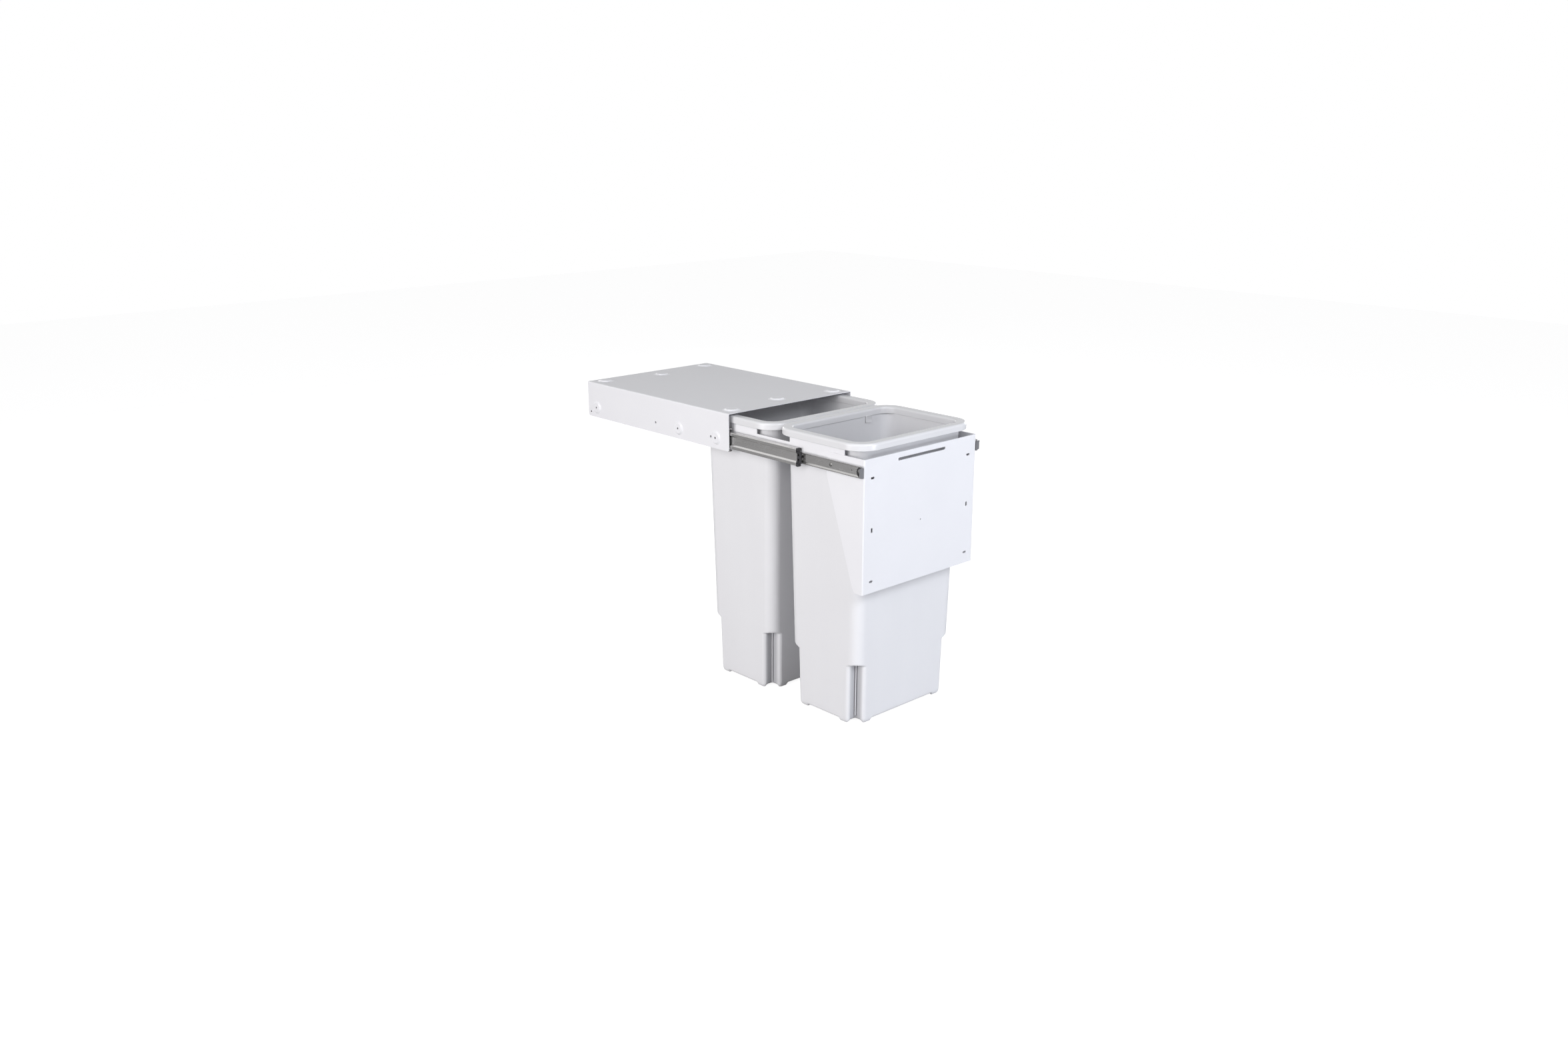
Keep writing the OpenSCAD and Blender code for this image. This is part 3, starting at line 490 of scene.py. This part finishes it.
# One corner mirrored to all four quarters, with points at given shares of each straight side between them
def wholePlan(corner, shares):
    flipX = corner * np.array([-1.0, 1.0])
    flipY = corner * np.array([1.0, -1.0])
    quarters = [corner, flipX[..., ::-1, :], -corner, flipY[..., ::-1, :]]
    runs = []
    for quarter, following in zip(quarters, quarters[1:] + quarters[:1]):
        last = quarter[..., -1:, :]
        side = last + (following[..., :1, :] - last) * np.array(shares)[:, None]
        runs += [quarter, side]
    return np.concatenate(runs, axis=-2)


# Plans lifted into space: every point of a plan gets its height as a third coordinate
def lifted(plan, height):
    return np.concatenate([plan, np.broadcast_to(height, plan.shape[:-1])[..., None]], axis=-1)


# Bucket: a loft of rounded plans, notched below and plain above, out to the rim and back down inside
bucketSet = {
    "base": (0.144, 0.0955),  # half sizes
    "top": (0.153, 0.1085),
    "wall": 0.0025,
    "corner": 0.026,
    "edge": 0.005,
    "edgePoints": 7,
    "soleInset": 2.4,  # in edges: where the base's flat middle starts
    "notch": 0.023,
    "notchHeight": 0.122,
    "notchGap": 0.002,  # from the notch's last level to its ledge
    "flank": 0.0095,
    "flankLoss": 0.5,  # of an inset, taken off the flank's radius
    "hollow": 0.005,
    "rib": 0.003,
    "ribFrom": (2.0, 2.4),  # in edges above the base
    "ribFull": 2.2,  # the rib's height across the hollow: this, less ribSteep times the way from its middle
    "ribSteep": 7.0,
    "paintedShadeFrom": 0.6,  # of the way round a flank, where the painted shade starts
    "paintedShadeFlank": 0.55,  # painted shade at the flank's end
    "paintedShadeFade": 0.25,  # painted shade lost from the rib to the flank
    "paintedShadeRib": 1.7,  # on the rib's slope, where the painted shade stops
    "ledge": 0.005,
    "ledgeEnd": 2.0,  # in ledges
    "scoop": ((0.0, 0.0), (0.4, 0.46), (0.72, 0.79), (1.0, 0.93), (1.3, 0.985), (1.6, 1.0)),  # rise and share
    "foot": 0.005,
    "footInset": 1.3,  # in edges: where a foot's inner side starts
    "footDrop": 0.7,  # of the foot, at its inner side
    "footLength": 0.012,
    "footPoints": 10,
    "footLast": 0.05,  # of its length, left at the last step
    "flange": 0.0025,
    "flangeGrowth": 1.345,  # corner radius gained per length of flange
    "flangeFillet": 0.0015,
    "flangeGaps": (0.02, 0.002),  # from the wall's last levels to the flange
    "rimGap": 0.03,  # from the rim to the first level inside
    "lip": 0.0006,
    "arcPoints": 24,
    "sides": (0.006, 0.03, 0.12, 0.3, 0.5, 0.7, 0.88, 0.97, 0.994),
}


# How far each point of a foot's ramp lies from the corner along the flat wall: even steps, nearly to nothing
def wallSteps():
    reach = bucketSet["footLength"] + bucketSet["foot"]
    return np.linspace(reach, bucketSet["footLast"] * reach, bucketSet["footPoints"])


# A corner between two short runs of flat wall: its ends, less those steps along each wall
def withWalls(corner):
    steps = wallSteps()[:, None]
    first = corner[..., :1, :] - steps * np.array([0.0, 1.0])
    last = corner[..., -1:, :] - steps[::-1] * np.array([1.0, 0.0])
    return np.concatenate([first, corner, last], axis=-2)


# Plain corners: a quarter turn about a centre that lies one radius in from both sides
def roundCorner(half, radius):
    return withWalls(arcPoints(half - radius[:, None], radius, 0.0, 90.0, 3 * bucketSet["arcPoints"]))


# The rib across its hollow: a steep slope down from the middle, cut off at full height and at none
def ribShape():
    place = np.abs(np.linspace(-1.0, 1.0, bucketSet["arcPoints"]))
    return np.clip(bucketSet["ribFull"] - bucketSet["ribSteep"] * place, 0.0, 1.0)


# Notched corners: two rounded flanks, and between them a hollow quarter turn pushed out by the rib
def notchCorner(half, flank, rib):
    size = bucketSet["notch"]
    hollow = bucketSet["hollow"]
    count = bucketSet["arcPoints"]
    inside = half - flank[:, None]
    first = arcPoints(inside - np.array([0.0, size]), flank, 0.0, 90.0, count)
    last = arcPoints(inside - np.array([size, 0.0]), flank, 0.0, 90.0, count)
    middle = arcPoints(half - size + hollow, hollow, 270.0, 180.0, count)
    ridge = np.sqrt(0.5) * rib[:, None] * ribShape()
    return withWalls(np.concatenate([first, middle + ridge[..., None], last], axis=-2))


# How far down a foot is round a corner: a smooth ramp on the wall, full to mid-flank, gone at the hollow
def footShare():
    count = bucketSet["arcPoints"]
    ramp = np.clip((bucketSet["footLength"] + bucketSet["foot"] - wallSteps()) / bucketSet["foot"], 0.0, 1.0)
    fall = np.clip(2.0 - np.linspace(0.0, 2.0, count), 0.0, 1.0)
    half = np.concatenate([ramp, fall])
    half = half * half * (3.0 - 2.0 * half)
    return np.concatenate([half, np.zeros(count), half[::-1]])


# How much painted shade a corner's points take in the groove: rising round the flank, full in the hollow,
# none on the rib
def paintedShadeShare():
    count = bucketSet["arcPoints"]
    start = bucketSet["paintedShadeFrom"]
    rising = np.clip((np.linspace(0.0, 1.0, count) - start) / (1.0 - start), 0.0, 1.0)
    flank = bucketSet["paintedShadeFlank"] * rising
    place = np.abs(np.linspace(-1.0, 1.0, count))
    onRib = bucketSet["ribSteep"] * place < bucketSet["paintedShadeRib"]
    hollow = np.where(onRib, 0.0, 1.0 - bucketSet["paintedShadeFade"] * place)
    wall = np.zeros(bucketSet["footPoints"])
    return np.concatenate([wall, flank, hollow, flank[::-1], wall])


# One corner's values carried to all four, with none along the straight sides
def allCorners(corner):
    return np.tile(np.concatenate([corner, np.zeros(len(bucketSet["sides"]))]), 4)


# Wall levels as rows: z, inset, share of the plain corner, height of the rib and depth of the feet
def levelRows(z, inset=0.0, share=0.0, rib=0.0, foot=0.0):
    return np.stack(np.broadcast_arrays(z, inset, share, rib, foot), axis=-1)


# A quarter round: what is left of a radius when its cosine, and its sine, is taken off at even angles
def quarterRound(radius):
    turn = np.radians(np.linspace(0.0, 90.0, bucketSet["edgePoints"]))
    return radius * (1.0 - np.cos(turn)), radius * (1.0 - np.sin(turn))


# Outside, upwards: sole, quarter-round edge with the feet, notch, scooped ledge and plain wall
def outerLevels(base, ledge, under):
    edge = bucketSet["edge"]
    foot = bucketSet["foot"]
    rib = bucketSet["rib"]
    up, inward = quarterRound(edge)
    rise, share = np.array(bucketSet["scoop"]).T
    ribLow, ribNext = bucketSet["ribFrom"]
    gapLow, gapHigh = bucketSet["flangeGaps"]
    soleInsets = [bucketSet["soleInset"] * edge, bucketSet["footInset"] * edge]
    notched = [
        base + ribLow * edge,
        base + ribNext * edge,
        0.5 * (base + ledge),
        ledge - bucketSet["notchGap"],
    ]
    ledgeEnd = ledge + bucketSet["ledgeEnd"] * bucketSet["ledge"]
    plain = [ledgeEnd, 0.5 * (ledge + under), under - gapLow, under - gapHigh]
    return np.concatenate([
        levelRows(base, soleInsets, foot=[0.0, bucketSet["footDrop"] * foot]),
        levelRows(base + up, inward, foot=foot * (1.0 - up / edge)),
        levelRows(notched, rib=rib),
        levelRows(ledge + bucketSet["ledge"] * rise, share=share, rib=rib * (1.0 - share)),
        levelRows(plain, share=1.0),
    ])


# Inside, downwards: plain wall, ledge one wall higher than outside, notch, quarter-round edge of the floor
def innerLevels(base, ledge, rim):
    wall = bucketSet["wall"]
    inward, up = quarterRound(bucketSet["edge"])
    rise, share = np.array(bucketSet["scoop"])[::-1].T
    ledgeEnd = ledge + wall + bucketSet["ledgeEnd"] * bucketSet["ledge"]
    return np.concatenate([
        levelRows([rim - bucketSet["rimGap"], 0.5 * (ledge + rim), ledgeEnd], wall, 1.0),
        levelRows(ledge + wall + bucketSet["ledge"] * rise, wall, share),
        levelRows([0.5 * (base + ledge)], wall),
        levelRows(base + wall + up, wall + inward),
    ])


# Wall surface: half sizes go evenly from base to top, less the inset, and share blends notched to plain
def wallSurface(levels, base, rise):
    z, inset, share, rib, foot = levels.T
    low = np.array(bucketSet["base"])
    taper = np.array(bucketSet["top"]) - low
    half = low + taper * ((z - base) / rise)[:, None] - inset[:, None]
    plain = roundCorner(half, bucketSet["corner"] - inset)
    notched = notchCorner(half, bucketSet["flank"] - bucketSet["flankLoss"] * inset, rib)
    plan = wholePlan(notched + (plain - notched) * share[:, None, None], bucketSet["sides"])
    return lifted(plan, z[:, None] - foot[:, None] * allCorners(footShare()))


# Rim surface: the top's plan moved out by each reach, through a fillet, round the flange's lips and back in
def rimSurface(under, rim, reach):
    wall = bucketSet["wall"]
    lip = bucketSet["lip"]
    outward, down = quarterRound(bucketSet["flangeFillet"])
    flange = [
        (under, reach - lip),
        (under + lip, reach),
        (rim - lip, reach),
        (rim, reach - lip),
        (rim, lip - wall),
        (rim - lip, -wall),
    ]
    z, out = np.concatenate([np.column_stack([under - down, outward]), flange]).T
    growth = np.where(out > 0.0, bucketSet["flangeGrowth"], 1.0)
    half = np.array(bucketSet["top"]) + out[:, None]
    plan = wholePlan(roundCorner(half, bucketSet["corner"] + growth * out), bucketSet["sides"])
    return lifted(plan, z[:, None])


# One bucket: its surfaces in a row from sole to floor, with painted shade marked where its outside lies in a
# groove
def makeBucket(place):
    node = "bucket_" + place
    low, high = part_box(node)
    middle = np.array([0.0, 0.5 * (low.y + high.y), 0.0])
    rim = high.z
    base = low.z + bucketSet["foot"]
    ledge = base + bucketSet["notchHeight"]
    under = rim - bucketSet["flange"]
    reach = 0.5 * (high.x - low.x) - bucketSet["top"][0]
    levels = outerLevels(base, ledge, under)
    surfaces = [
        wallSurface(levels, base, rim - base),
        rimSurface(under, rim, reach),
        wallSurface(innerLevels(base, ledge, rim), base, rim - base),
    ]
    points = np.concatenate(surfaces) + middle
    rows, columns = points.shape[:2]
    plainShare = levels[:, 2]
    # Painted shade falls only on the notched outside levels, none on the rim or inside
    deep = np.concatenate([1.0 - plainShare, np.zeros(rows - len(levels))])
    marks = deep[:, None] * allCorners(paintedShadeShare())
    faces = tubeFaces(rows, columns, False)
    addPiece("bucketShell_" + place, points, faces, node, "bucket_plastic", [node], marks=marks)


for place in ("front", "rear"):
    makeBucket(place)
print("buckets lofted")


# Liner ring: an inverted U carried round a rounded rectangle
ringSet = {
    "band": 0.022,
    "height": 0.015,
    "corner": 0.048,
    "cornerPoints": 28,
    "wall": 0.002,
    "edge": 0.005,
    "edgePoints": 12,
    "topPoints": 9,
    "bevel": 0.002,
    "lip": 0.0006,
    "sides": (0.01, 0.05, 0.2, 0.5, 0.8, 0.95, 0.99),
}


# The section as inset from the outer edge and height above the top: rounded edges, flat top, two thin walls
def ringSection():
    band = ringSet["band"]
    deep = ringSet["height"]
    wall = ringSet["wall"]
    edge = ringSet["edge"]
    bevel = ringSet["bevel"]
    lip = ringSet["lip"]
    inner = band - wall
    outerTop = arcPoints((edge, -edge), edge, 180.0, 90.0, ringSet["edgePoints"])
    across = np.linspace(edge, band - edge, ringSet["topPoints"])[1:-1]
    top = np.column_stack([across, np.zeros(len(across))])
    innerTop = arcPoints((band - edge, -edge), edge, 90.0, 0.0, ringSet["edgePoints"])
    innerFoot = [(band, lip - deep), (band - lip, -deep), (inner + lip, -deep), (inner, lip - deep)]
    hollow = [(inner, -wall - bevel), (inner - bevel, -wall), (wall + bevel, -wall), (wall, -wall - bevel)]
    outerFoot = [(wall, lip - deep), (wall - lip, -deep), (lip, -deep), (0.0, lip - deep)]
    return np.concatenate([outerTop, top, innerTop, innerFoot, hollow, outerFoot])


# The section carried round: its corners turn about one centre, at the corner's radius less the inset
def makeRing(place):
    node = "liner_ring_" + place
    low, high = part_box(node)
    middle = np.array([0.0, 0.5 * (low.y + high.y), 0.0])
    half = np.array([0.5 * (high.x - low.x), 0.5 * (high.y - low.y)])
    inset, height = ringSection().T
    corner = ringSet["corner"]
    turned = arcPoints(half - corner, corner - inset, 0.0, 90.0, ringSet["cornerPoints"])
    points = lifted(wholePlan(turned, ringSet["sides"]), (high.z + height)[:, None]) + middle
    rows, columns = points.shape[:2]
    faces = gridFaces(rows, columns, True)[:, ::-1].tolist()
    addPiece("linerRing_" + place, points, faces, "bucket_" + place, "ring_plastic", [node])


# Liner clip: a thin tongue with rounded corners on the ring's back wall
clipSet = {
    "width": 0.018,
    "place": 0.090,
    "proud": 0.001,
    "top": 0.0132,
    "power": 0.3,
    "around": 64,
    "sections": ((0.0004, 0.90), (0.0, 0.97), (0.0004, 1.0), (0.0015, 1.0), (0.0018, 0.98)),  # depth and size
}


# A wave made squarer: its size raised to a small power, with its sign kept
def squared(wave):
    return np.sign(wave) * np.abs(wave) ** clipSet["power"]


# A superellipse, from squared cosine and sine, scaled by each section's size and set back by its depth
def makeClip(place):
    low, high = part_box("liner_ring_" + place)
    upper = high.z - clipSet["top"]
    front = high.y - ringSet["band"] - clipSet["proud"]
    turn = np.linspace(0.0, 2.0 * np.pi, clipSet["around"], endpoint=False)
    depth, size = np.array(clipSet["sections"]).T[..., None]
    x = clipSet["place"] + 0.5 * clipSet["width"] * size * squared(np.cos(turn))
    z = 0.5 * (upper + low.z) + 0.5 * (upper - low.z) * size * squared(np.sin(turn))
    points = np.stack(np.broadcast_arrays(x, front + depth, z), axis=-1)
    rows, columns = points.shape[:2]
    faces = tubeFaces(rows, columns, True)
    addPiece("linerClip_" + place, points, faces, "bucket_" + place, "ring_plastic")


for place in ("front", "rear"):
    makeRing(place)
    makeClip(place)
print("liner rings swept")


# Screws: a pan head with a cross recess pressed into it, on a plain shank
screwSet = {
    "head": 0.004,
    "crown": 0.0016,
    "domeFall": 0.45,  # of the crown
    "rimFall": 0.55,
    "rimPower": 10,
    "pole": 0.00002,  # radius of the tiny polygon that closes the head
    "shank": 0.0021,
    "tail": 0.0004,
    "tailTaper": 0.7,
    "crossArm": 0.0022,
    "crossWidth": 0.00055,
    "crossDepth": 0.0011,
    "crossFade": 0.0004,
    "crossRise": 0.5,  # of its depth, lost along an arm
    "around": 64,
    "across": 26,
    "sharp": 30.0,
    "carrier": ((0.0, 0.0), (0.162, 0.0), (0.350, 0.0)),  # along and up from the first screw
    "slide": ((0.0, 0.0), (0.190, 0.0), (0.435, -0.0125)),
}


# Height of the head over a polar grid: a dome that falls away at its rim, less a cross that fades at its ends
def headSurface(radius, angle):
    share = radius / screwSet["head"]
    fall = screwSet["domeFall"] * share ** 2 + screwSet["rimFall"] * share ** screwSet["rimPower"]
    x = np.abs(radius * np.cos(angle))
    y = np.abs(radius * np.sin(angle))
    longer = np.maximum(x, y)
    gap = np.maximum(longer - screwSet["crossArm"], np.minimum(x, y) - screwSet["crossWidth"])
    sunk = np.clip(-gap / screwSet["crossFade"], 0.0, 1.0)
    depth = screwSet["crossDepth"] * (1.0 - screwSet["crossRise"] * longer / screwSet["crossArm"])
    return screwSet["crown"] * (1.0 - fall) - depth * sunk


# A screw turned about X: radius against distance along the shank, from the head's middle to the tail
def screwPoints(length):
    angle = np.linspace(0.0, 2.0 * np.pi, screwSet["around"], endpoint=False)[None, :]
    radius = np.linspace(screwSet["pole"], screwSet["head"], screwSet["across"])[:, None]
    shank = screwSet["shank"]
    below = np.array([
        (0.0, shank),
        (screwSet["tail"] - length, shank),
        (-length, screwSet["tailTaper"] * shank),
    ])
    along = np.concatenate([headSurface(radius, angle), below[:, :1] + np.zeros_like(angle)])
    out = np.concatenate([radius, below[:, 1:]])
    return np.stack([along, out * np.cos(angle), out * np.sin(angle)], axis=-1)


# One node's screws: the same points at each place; outward is the way along X that their heads face
def makeScrews(name, node, body, outward, steps):
    low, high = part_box(node)
    head = screwSet["head"]
    crown = screwSet["crown"]
    local = screwPoints(high.x - low.x - crown) * np.array([outward, 1.0, 1.0])
    seat = high.x - crown if outward > 0 else low.x + crown
    centres = np.array([(seat, low.y + head + along, high.z - head + up) for along, up in steps])
    points = local[None] + centres[:, None, None, :]
    rows, columns = local.shape[:2]
    faces = tubeFaces(rows, columns, outward > 0, len(steps))
    addPiece(name, points, faces, body, "bright_fixings", [node], screwSet["sharp"])


for side, outward in (("left", -1), ("right", 1)):
    for kind, body, facing in (("carrier", "carrier", outward), ("slide", "housing", -outward)):
        makeScrews(kind + "Screws_" + side, kind + "_screws_" + side, body, facing, screwSet[kind])
print("screws turned")


# Roof pads: each gets a rim with a steep shoulder and a hollow run-out, laid over the solid's plain cone
padSet = {
    "flat": 0.011,
    "shoulder": 0.013,
    "foot": 0.0205,
    "height": 0.003,
    "below": 0.00001,  # the rim stays this far under the pad's flat
    "bow": 2.8,
    "under": ((0.0205, -0.0003), (0.0152, -0.0006), (0.0112, 0.0023)),  # radius and height inside the sheet
    "around": 96,
    "across": 20,
    "sideInset": 0.035,
    "endInset": 0.027,
    "middleInset": 0.048,
}


# Radius and height: flat to the shoulder, then falling as a power of what is left of the way to the foot
def padProfile():
    way = np.linspace(0.0, 1.0, padSet["across"])
    top = padSet["height"] - padSet["below"]
    radius = padSet["shoulder"] + (padSet["foot"] - padSet["shoulder"]) * way
    slope = np.column_stack([radius, top * (1.0 - way) ** padSet["bow"]])
    return np.concatenate([[(padSet["flat"], top)], slope, padSet["under"]])


# The profile turned about Z at each of the six pads: four near the corners and two on the middle line
def makePadRims():
    low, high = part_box("top_housing")
    across = high.x - padSet["sideInset"]
    ends = (low.y + padSet["endInset"], high.y - padSet["endInset"])
    middles = (low.y + padSet["middleInset"], high.y - padSet["middleInset"])
    roof = high.z - padSet["height"]
    centres = [(x, y, roof) for x in (-across, across) for y in ends] + [(0.0, y, roof) for y in middles]
    radius, height = np.hsplit(padProfile(), 2)
    angle = np.linspace(0.0, 2.0 * np.pi, padSet["around"], endpoint=False)[None, :]
    local = np.stack(np.broadcast_arrays(radius * np.cos(angle), radius * np.sin(angle), height), axis=-1)
    points = local[None] + np.array(centres)[:, None, None, :]
    rows, columns = local.shape[:2]
    faces = repeatFaces(gridFaces(rows, columns, True)[:, ::-1], rows * columns, len(centres))
    # The rims wear the paler coat, a painted highlight
    addPiece("roofPadRims", points, faces, "housing", "white_powder_coat", finish=padHighlightCoat)


makePadRims()
print("pad rims laid")


# Stage: a pale floor under the feet, a white surround, and soft lamps
stageSet = {
    "floorSize": 14.0,
    "floorGap": 0.0005,
    "floorColour": (0.40, 0.40, 0.405, 1.0),
    "floorRough": 0.9,
    "floorShine": 0.1,
    "floorLift": 0.89,
    "white": (1.0, 1.0, 1.0, 1.0),
    "ambient": 0.14,
    "lamps": (  # name, place, size, power and tint
        ("keyLamp", (-3.2, -1.0, 1.3), 2.6, 53.5, (1.0, 0.985, 0.985)),
        ("sideLamp", (-3.2, 0.2, 0.1), 1.6, 42.5, (1.0, 0.985, 0.985)),
        ("frontLamp", (-0.2, -3.0, 1.9), 1.6, 46.5, (0.97, 1.0, 1.06)),
        ("frontLowLamp", (0.9, -3.6, -0.1), 1.0, 47.5, (0.97, 1.0, 1.06)),
        ("rightFill", (3.4, 0.5, 0.3), 2.2, 30.0, (1.0, 1.0, 1.0)),
        ("backFill", (0.5, 3.7, 0.3), 2.2, 32.0, (1.0, 1.0, 1.0)),
    ),
    "aim": (0.0, -0.15, -0.25),
}


# 1 for rays that show the surround: camera, glossy and transmitted
def shownRay(made):
    kinds = ("Is Camera Ray", "Is Glossy Ray", "Is Transmission Ray")
    camera, glossy, through = [made.node("LightPath", {}, {}, kind) for kind in kinds]
    return made.node("Clamp", {}, {"Value": camera + glossy + through})


# A square just under the feet: its lit colour keeps the shadow, and a glow for the camera alone whitens it
def makeFloor():
    half = 0.5 * stageSet["floorSize"]
    z = cadBox[0][2] - stageSet["floorGap"]
    mesh = bpy.data.meshes.new("floor")
    corners = [(-half, -half, z), (half, -half, z), (half, half, z), (-half, half, z)]
    mesh.from_pydata(corners, [], [(0, 1, 2, 3)])
    made = Finish("paleFloor")
    seen = made.node("LightPath", {}, {}, "Is Camera Ray")
    glow = made.node("Emission", {}, {"Color": stageSet["white"], "Strength": stageSet["floorLift"] * seen})
    made.surface(colour=stageSet["floorColour"], rough=stageSet["floorRough"], shine=stageSet["floorShine"])
    body = Wire(made.tree, made.shader.outputs[0])
    both = made.node("AddShader", {}, {0: body, 1: glow})
    plug(made.tree, made.tree.nodes["Material Output"].inputs["Surface"], both)
    mesh.materials.append(made.material)
    floor = bpy.data.objects.new("floor", mesh)
    scene.collection.objects.link(floor)


# The world's nodes, added in the same way as a finish's
class Surround(Finish):
    def __init__(self):
        self.world = bpy.data.worlds.new("surround")
        self.world.use_nodes = True
        self.tree = self.world.node_tree


# White for the rays that show it, and a dim even light for all others
def makeSurround():
    made = Surround()
    lit = made.node("Background", {}, {"Color": stageSet["white"], "Strength": stageSet["ambient"]})
    shown = made.node("Background", {}, {"Color": stageSet["white"], "Strength": 1.0})
    mixed = made.node("MixShader", {}, {0: shownRay(made), 1: lit, 2: shown})
    plug(made.tree, made.tree.nodes["World Output"].inputs["Surface"], mixed)
    scene.world = made.world


# Round soft lamps, each turned so that its beam, which starts straight down, meets the aim
def makeLamps():
    for name, place, size, power, tint in stageSet["lamps"]:
        data = bpy.data.lights.new(name, "AREA")
        data.shape = "DISK"
        data.size = size
        data.energy = power
        data.color = tint
        lamp = bpy.data.objects.new(name, data)
        lamp.location = place
        x, y, z = np.array(stageSet["aim"]) - np.array(place)
        lamp.rotation_euler = (np.arctan2(np.hypot(x, y), -z), 0.0, np.arctan2(-x, y))
        scene.collection.objects.link(lamp)


makeFloor()
makeSurround()
makeLamps()
print("stage lit")
